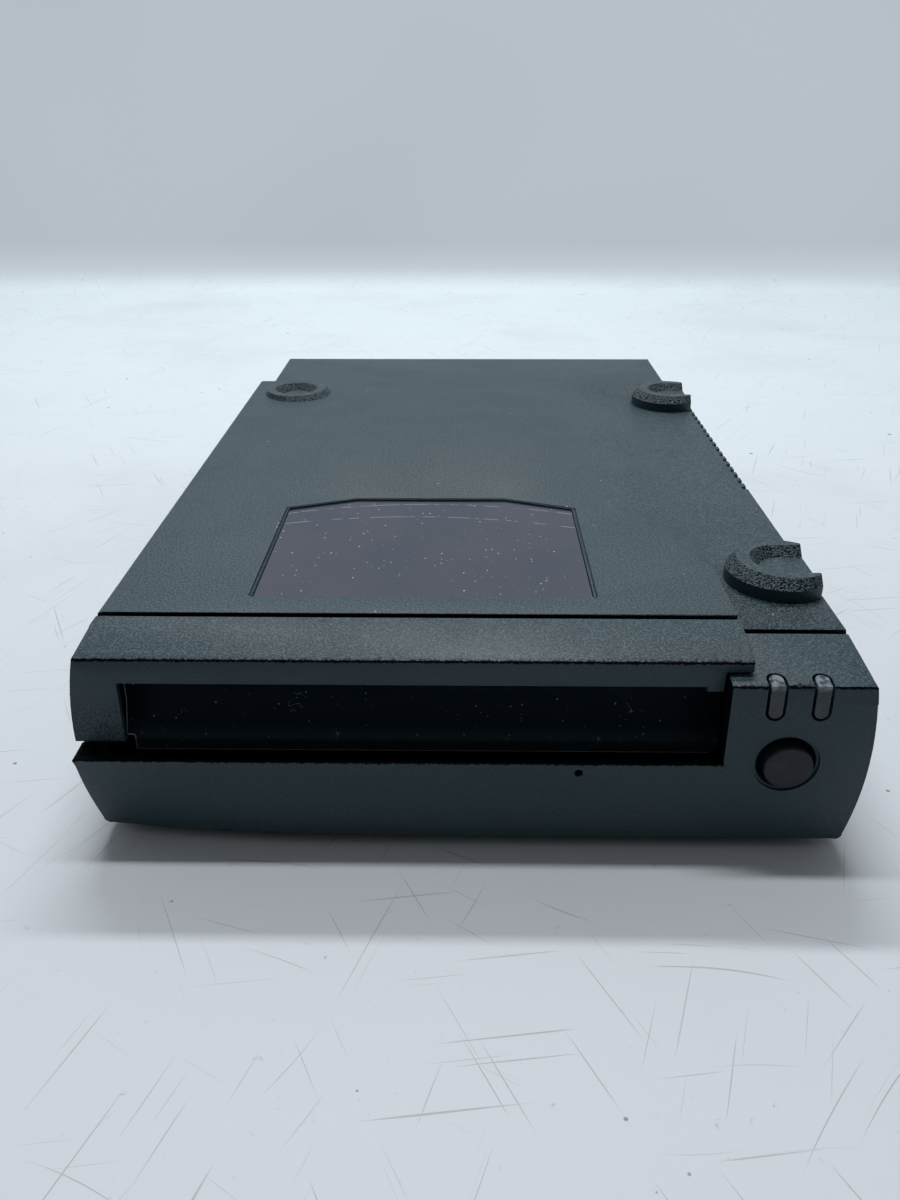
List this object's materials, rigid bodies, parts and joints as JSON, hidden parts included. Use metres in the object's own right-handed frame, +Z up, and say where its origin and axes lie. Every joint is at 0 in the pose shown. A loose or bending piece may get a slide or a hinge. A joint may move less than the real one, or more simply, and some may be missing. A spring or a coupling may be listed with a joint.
{
  "type": "removable disk drive",
  "caption": "Desktop removable-cartridge disk drive: flat case with stacking rings, wide front slot with a hinged dust door, round eject button and a window in the lid.",
  "frame": {"origin": "middle of the case on the table under its feet, midway between the eject button's face and the rear edge", "axes": "+Z up, +Y from the front slot to the rear sockets, +X to the right seen from the front"},
  "size_m": [0.136, 0.2044, 0.0398],
  "materials": {
    "case_plastic": "textured, dark green-grey",
    "door_plastic": "glossy black",
    "button_plastic": "satin, bluish grey",
    "black_plastic": "moulded black",
    "clear_plastic": "clear light pipe",
    "tinted_plastic": "smoked translucent pane",
    "foot_rubber": "soft black",
    "circuit_board": "green solder mask",
    "lamp_green": "unlit lamps",
    "casting": "as cast",
    "plated_sheet": "zinc plated",
    "spring_steel": "bright",
    "screw_steel": "nickel plated",
    "magnet": "nickel coated",
    "copper": "enamelled winding",
    "arm_metal": "machined",
    "flat_cable": "grey ribbon",
    "flex_film": "amber film",
    "pale_plastic": "moulded ivory"
  },
  "bodies": {
    "housing": {"top_cover": "case_plastic", "bottom_case": "case_plastic", "rubber_feet": "foot_rubber", "front_panel": "case_plastic", "light_pipe_left": "clear_plastic", "light_pipe_right": "clear_plastic", "slot_visor": "case_plastic", "viewing_window": "tinted_plastic", "door_spring": "spring_steel", "slot_frame": "black_plastic", "button_spring": "spring_steel", "front_board": "circuit_board", "eject_switch": "black_plastic", "status_lamps": "lamp_green", "base_casting": "casting", "mechanism_cover": "plated_sheet", "cartridge_guide_left": "black_plastic", "cartridge_guide_right": "black_plastic", "drive_board": "circuit_board", "board_chips": "black_plastic", "drive_connector": "black_plastic", "eject_solenoid": "black_plastic", "sled_spring": "spring_steel", "pivot_post": "screw_steel", "magnet_plate_lower": "plated_sheet", "magnet_plate_upper": "plated_sheet", "arc_magnets": "magnet", "yoke_posts": "plated_sheet", "head_ramp": "pale_plastic", "head_flex": "flex_film", "emi_shield": "plated_sheet", "mounting_rail_left": "plated_sheet", "mounting_rail_right": "plated_sheet", "mechanism_screws": "screw_steel", "case_screws": "screw_steel", "rear_panel": "plated_sheet", "interface_board": "circuit_board", "data_socket_lower": "black_plastic", "data_socket_upper": "black_plastic", "power_jack": "black_plastic", "power_switch_body": "black_plastic", "number_wheel_case": "black_plastic", "slide_switch_body": "black_plastic", "fan_frame": "black_plastic", "board_header": "black_plastic", "ribbon_cable": "flat_cable"},
    "eject_button": {"eject_button": "button_plastic"},
    "dust_door": {"dust_door": "door_plastic"},
    "eject_sled": {"eject_sled": "plated_sheet", "solenoid_plunger": "plated_sheet"},
    "motor_carrier": {"motor_carrier": "plated_sheet", "motor_stator": "copper"},
    "spindle": {"spindle_hub": "plated_sheet", "rotor_magnet": "magnet"},
    "head_arm": {"head_arm": "arm_metal", "voice_coil": "copper"},
    "fan_rotor": {"fan_rotor": "black_plastic"},
    "power_rocker": {"power_rocker": "black_plastic"},
    "number_wheel": {"number_wheel": "pale_plastic"},
    "termination_slider": {"termination_slider": "pale_plastic"}
  },
  "joints": [
    {"name": "button_press", "type": "slide", "parent": "housing", "child": "eject_button", "axis": [0, 1, 0], "range_m": [0, 0.0015], "stiffness_N_per_m": 250, "springref_m": -0.001, "deforming": ["button_spring"]},
    {"name": "door_swing", "type": "hinge", "parent": "housing", "child": "dust_door", "pos_m": [0, -0.09235, 0.0323], "axis": [1, 0, 0], "range_deg": [0, 88], "stiffness_Nm_per_rad": 0.001, "springref_deg": -28.65},
    {"name": "sled_travel", "type": "slide", "parent": "housing", "child": "eject_sled", "axis": [0, 1, 0], "range_m": [-0.008, 0], "stiffness_N_per_m": 120, "springref_m": 0.003, "deforming": ["sled_spring"]},
    {"name": "carrier_lift", "type": "slide", "parent": "housing", "child": "motor_carrier", "axis": [0, 0, -1], "range_m": [-0.0024, 0]},
    {"name": "spindle_spin", "type": "hinge", "parent": "motor_carrier", "child": "spindle", "pos_m": [-0.00815, -0.036, 0.016], "axis": [0, 0, 1], "continuous": true},
    {"name": "arm_swing", "type": "hinge", "parent": "housing", "child": "head_arm", "pos_m": [0.01, 0.038, 0.022], "axis": [0, 0, -1], "range_deg": [-46, 0]},
    {"name": "fan_spin", "type": "hinge", "parent": "housing", "child": "fan_rotor", "pos_m": [-0.042, 0.092, 0.02045], "axis": [0, 1, 0], "continuous": true},
    {"name": "rocker_tip", "type": "hinge", "parent": "housing", "child": "power_rocker", "pos_m": [0.051, 0.09725, 0.0265], "axis": [1, 0, 0], "range_deg": [-18, 0]},
    {"name": "wheel_turn", "type": "hinge", "parent": "housing", "child": "number_wheel", "pos_m": [0.0395, 0.09335, 0.027], "axis": [1, 0, 0], "range_deg": [-315, 0]},
    {"name": "slider_move", "type": "slide", "parent": "housing", "child": "termination_slider", "axis": [1, 0, 0], "range_m": [-0.003, 0]}
  ],
  "couplings": [
    {"joint": "carrier_lift", "follows": "sled_travel", "ratio": 0.3}
  ]
}
